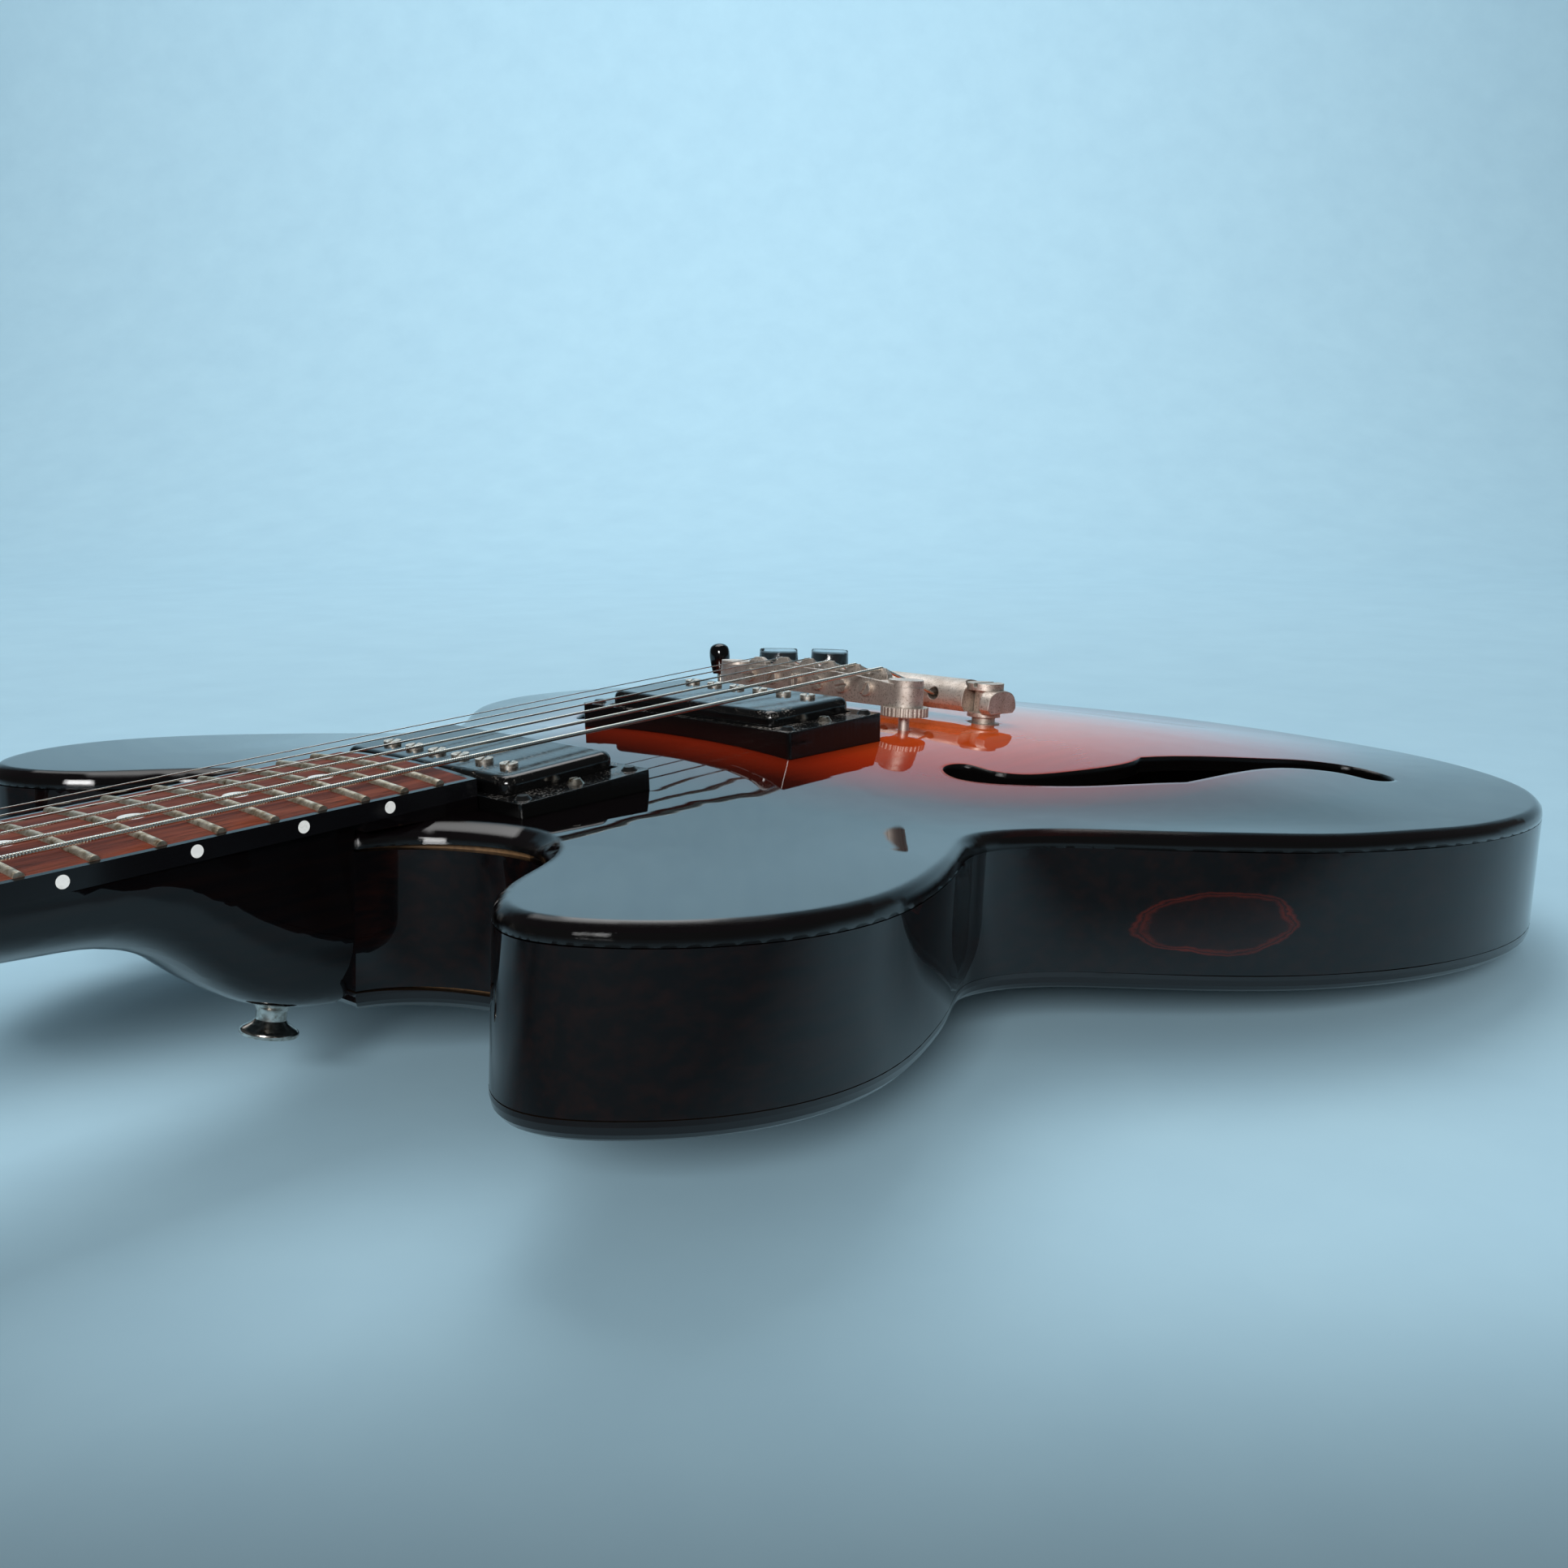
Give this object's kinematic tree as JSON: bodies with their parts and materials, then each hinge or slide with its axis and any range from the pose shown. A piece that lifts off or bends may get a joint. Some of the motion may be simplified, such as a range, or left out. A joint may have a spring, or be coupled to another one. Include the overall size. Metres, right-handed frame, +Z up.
{
  "type": "semi-hollow electric guitar",
  "caption": "Semi-hollow electric guitar with an arched double-cutaway body, f-holes, glued neck, tunable bridge, stop tailpiece, pickups, controls and geared tuners.",
  "frame": {"origin": "on the floor, under the middle of the bounding box of the guitar lying on its back", "axes": "+X from the headstock to the tail, +Y to the treble side, +Z up from the floor"},
  "size_m": [1.058, 0.412, 0.096],
  "materials": {
    "sunburst_top": "glossy red sunburst lacquer over maple",
    "lacquered_sides": "glossy black lacquer over maple",
    "lacquered_back": "glossy dark red lacquer over maple",
    "bare_wood": "bare maple and spruce",
    "neck_wood": "glossy dark lacquer over mahogany",
    "rosewood": "oiled open-grained rosewood",
    "black_binding": "glossy black",
    "nut_bone": "polished bone",
    "pearl_dots": "pearl",
    "fret_wire": "polished nickel silver",
    "black_plastic": "glossy black",
    "black_covers": "glossy black, finely scratched",
    "coil_plastic": "black bobbins with a steel base",
    "knob_plastic": "glossy smoky black",
    "aged_nickel": "aged satin nickel with brown tarnish",
    "tuner_metal": "nickel plate",
    "steel_parts": "plain steel",
    "switch_parts": "nickel-plated steel frame and lever with a black tip",
    "string_metal": "bright nickel and steel"
  },
  "bodies": {
    "instrument": {"top_plate": "sunburst_top", "rim_bass": "lacquered_sides", "rim_treble": "lacquered_sides", "back_plate": "lacquered_back", "rim_linings": "bare_wood", "centre_block": "bare_wood", "neck": "neck_wood", "fretboard": "rosewood", "fretboard_binding": "black_binding", "nut": "nut_bone", "inlay_dots": "pearl_dots", "frets": "fret_wire", "truss_rod_cover": "black_plastic", "neck_pickup_ring": "black_plastic", "bridge_pickup_ring": "black_plastic", "bridge_posts": "aged_nickel", "stud_bushings": "aged_nickel", "strap_buttons": "aged_nickel", "output_jack": "aged_nickel", "ring_screws": "aged_nickel", "tuner_housings": "tuner_metal", "tuner_bushings": "tuner_metal", "truss_rod": "steel_parts", "headstock_screws": "steel_parts", "button_screws": "steel_parts", "potentiometers": "steel_parts", "toggle_switch": "switch_parts", "wound_strings": "string_metal", "plain_strings": "string_metal"},
    "neck_pickup": {"neck_pickup_cover": "black_covers", "neck_pickup_coils": "coil_plastic"},
    "bridge_pickup": {"bridge_pickup_cover": "black_covers", "bridge_pickup_coils": "coil_plastic"},
    "bridge": {"bridge_base": "aged_nickel", "intonation_screws": "aged_nickel"},
    "bass_wheel": {"thumbwheel_bass": "aged_nickel"},
    "treble_wheel": {"thumbwheel_treble": "aged_nickel"},
    "tail": {"tailpiece": "aged_nickel", "tailpiece_studs": "aged_nickel"},
    "volume": {"volume_knob": "knob_plastic"},
    "tone": {"tone_knob": "knob_plastic"},
    "selector": {"toggle_lever": "switch_parts"},
    "saddle_block_1": {"saddle_1": "aged_nickel"},
    "key_1": {"tuner_key_1": "tuner_metal"},
    "post_1": {"string_post_1": "tuner_metal"},
    "saddle_block_2": {"saddle_2": "aged_nickel"},
    "key_2": {"tuner_key_2": "tuner_metal"},
    "post_2": {"string_post_2": "tuner_metal"},
    "saddle_block_3": {"saddle_3": "aged_nickel"},
    "key_3": {"tuner_key_3": "tuner_metal"},
    "post_3": {"string_post_3": "tuner_metal"},
    "saddle_block_4": {"saddle_4": "aged_nickel"},
    "key_4": {"tuner_key_4": "tuner_metal"},
    "post_4": {"string_post_4": "tuner_metal"},
    "saddle_block_5": {"saddle_5": "aged_nickel"},
    "key_5": {"tuner_key_5": "tuner_metal"},
    "post_5": {"string_post_5": "tuner_metal"},
    "saddle_block_6": {"saddle_6": "aged_nickel"},
    "key_6": {"tuner_key_6": "tuner_metal"},
    "post_6": {"string_post_6": "tuner_metal"}
  },
  "joints": [
    {"name": "neck_pickup_height", "type": "slide", "parent": "instrument", "child": "neck_pickup", "axis": [-0.0474, 0, 0.9989], "range_m": [-0.002, 0.0015]},
    {"name": "bridge_pickup_height", "type": "slide", "parent": "instrument", "child": "bridge_pickup", "axis": [-0.009, 0, 1], "range_m": [-0.002, 0.0015]},
    {"name": "bridge_height", "type": "slide", "parent": "instrument", "child": "bridge", "axis": [0.0712, 0, 0.9975], "range_m": [-0.0025, 0.004], "deforming": ["wound_strings", "plain_strings"]},
    {"name": "bass_wheel_turn", "type": "hinge", "parent": "bridge", "child": "bass_wheel", "pos_m": [0.26716, -0.037, 0.0804], "axis": [0.0712, 0, 0.9975], "range_deg": [-900, 1440], "deforming": ["wound_strings", "plain_strings"]},
    {"name": "treble_wheel_turn", "type": "hinge", "parent": "bridge", "child": "treble_wheel", "pos_m": [0.26716, 0.037, 0.0804], "axis": [0.0712, 0, 0.9975], "range_deg": [-900, 1440], "deforming": ["wound_strings", "plain_strings"]},
    {"name": "saddle_1_travel", "type": "slide", "parent": "bridge", "child": "saddle_block_1", "axis": [0.9975, 0, -0.0712], "range_m": [-0.00397, 0.00093], "deforming": ["wound_strings"]},
    {"name": "saddle_2_travel", "type": "slide", "parent": "bridge", "child": "saddle_block_2", "axis": [0.9975, 0, -0.0712], "range_m": [-0.00304, 0.00186], "deforming": ["wound_strings"]},
    {"name": "saddle_3_travel", "type": "slide", "parent": "bridge", "child": "saddle_block_3", "axis": [0.9975, 0, -0.0712], "range_m": [-0.00191, 0.00299], "deforming": ["wound_strings"]},
    {"name": "saddle_4_travel", "type": "slide", "parent": "bridge", "child": "saddle_block_4", "axis": [0.9975, 0, -0.0712], "range_m": [-0.00328, 0.00162], "deforming": ["plain_strings"]},
    {"name": "saddle_5_travel", "type": "slide", "parent": "bridge", "child": "saddle_block_5", "axis": [0.9975, 0, -0.0712], "range_m": [-0.00216, 0.00274], "deforming": ["plain_strings"]},
    {"name": "saddle_6_travel", "type": "slide", "parent": "bridge", "child": "saddle_block_6", "axis": [0.9975, 0, -0.0712], "range_m": [-0.0011, 0.0038], "deforming": ["plain_strings"]},
    {"name": "tailpiece_height", "type": "slide", "parent": "instrument", "child": "tail", "axis": [0.0712, 0, 0.9975], "range_m": [-0.0012, 0.003], "deforming": ["wound_strings", "plain_strings"]},
    {"name": "volume_turn", "type": "hinge", "parent": "instrument", "child": "volume", "pos_m": [0.4112, 0.142, 0.05481], "axis": [0.1027, 0.0715, 0.9921], "range_deg": [-280, 0]},
    {"name": "tone_turn", "type": "hinge", "parent": "instrument", "child": "tone", "pos_m": [0.44703, 0.141, 0.05107], "axis": [0.1055, 0.04, 0.9936], "range_deg": [-280, 0]},
    {"name": "selector_throw", "type": "hinge", "parent": "instrument", "child": "selector", "pos_m": [0.3147, 0.08852, 0.06454], "axis": [-0.0066, 0.9949, -0.1004], "range_deg": [-12, 12]},
    {"name": "key_1_turn", "type": "hinge", "parent": "instrument", "child": "key_1", "pos_m": [-0.39439, -0.02553, 0.03987], "axis": [0, -1, 0], "continuous": true, "deforming": ["wound_strings"]},
    {"name": "post_1_turn", "type": "hinge", "parent": "instrument", "child": "post_1", "pos_m": [-0.40773, -0.01853, 0.05458], "axis": [-0.3191, 0, 0.9477], "continuous": true, "deforming": ["wound_strings"]},
    {"name": "key_2_turn", "type": "hinge", "parent": "instrument", "child": "key_2", "pos_m": [-0.43182, -0.02683, 0.02727], "axis": [0, -1, 0], "continuous": true, "deforming": ["wound_strings"]},
    {"name": "post_2_turn", "type": "hinge", "parent": "instrument", "child": "post_2", "pos_m": [-0.44516, -0.01983, 0.04198], "axis": [-0.3191, 0, 0.9477], "continuous": true, "deforming": ["wound_strings"]},
    {"name": "key_3_turn", "type": "hinge", "parent": "instrument", "child": "key_3", "pos_m": [-0.46926, -0.02814, 0.01466], "axis": [0, -1, 0], "continuous": true, "deforming": ["wound_strings"]},
    {"name": "post_3_turn", "type": "hinge", "parent": "instrument", "child": "post_3", "pos_m": [-0.4826, -0.02114, 0.02938], "axis": [-0.3191, 0, 0.9477], "continuous": true, "deforming": ["wound_strings"]},
    {"name": "key_4_turn", "type": "hinge", "parent": "instrument", "child": "key_4", "pos_m": [-0.46926, 0.02814, 0.01466], "axis": [0, 1, 0], "continuous": true, "deforming": ["plain_strings"]},
    {"name": "post_4_turn", "type": "hinge", "parent": "instrument", "child": "post_4", "pos_m": [-0.4826, 0.02114, 0.02938], "axis": [-0.3191, 0, 0.9477], "continuous": true, "deforming": ["plain_strings"]},
    {"name": "key_5_turn", "type": "hinge", "parent": "instrument", "child": "key_5", "pos_m": [-0.43182, 0.02683, 0.02727], "axis": [0, 1, 0], "continuous": true, "deforming": ["plain_strings"]},
    {"name": "post_5_turn", "type": "hinge", "parent": "instrument", "child": "post_5", "pos_m": [-0.44516, 0.01983, 0.04198], "axis": [-0.3191, 0, 0.9477], "continuous": true, "deforming": ["plain_strings"]},
    {"name": "key_6_turn", "type": "hinge", "parent": "instrument", "child": "key_6", "pos_m": [-0.39439, 0.02553, 0.03987], "axis": [0, 1, 0], "continuous": true, "deforming": ["plain_strings"]},
    {"name": "post_6_turn", "type": "hinge", "parent": "instrument", "child": "post_6", "pos_m": [-0.40773, 0.01853, 0.05458], "axis": [-0.3191, 0, 0.9477], "continuous": true, "deforming": ["plain_strings"]}
  ],
  "couplings": [
    {"joint": "bass_wheel_turn", "follows": "bridge_height", "rad_per_m": 6283.2},
    {"joint": "treble_wheel_turn", "follows": "bridge_height", "rad_per_m": 6283.2},
    {"joint": "post_1_turn", "follows": "key_1_turn", "ratio": 0.071429},
    {"joint": "post_2_turn", "follows": "key_2_turn", "ratio": 0.071429},
    {"joint": "post_3_turn", "follows": "key_3_turn", "ratio": 0.071429},
    {"joint": "post_4_turn", "follows": "key_4_turn", "ratio": -0.071429},
    {"joint": "post_5_turn", "follows": "key_5_turn", "ratio": -0.071429},
    {"joint": "post_6_turn", "follows": "key_6_turn", "ratio": -0.071429}
  ]
}
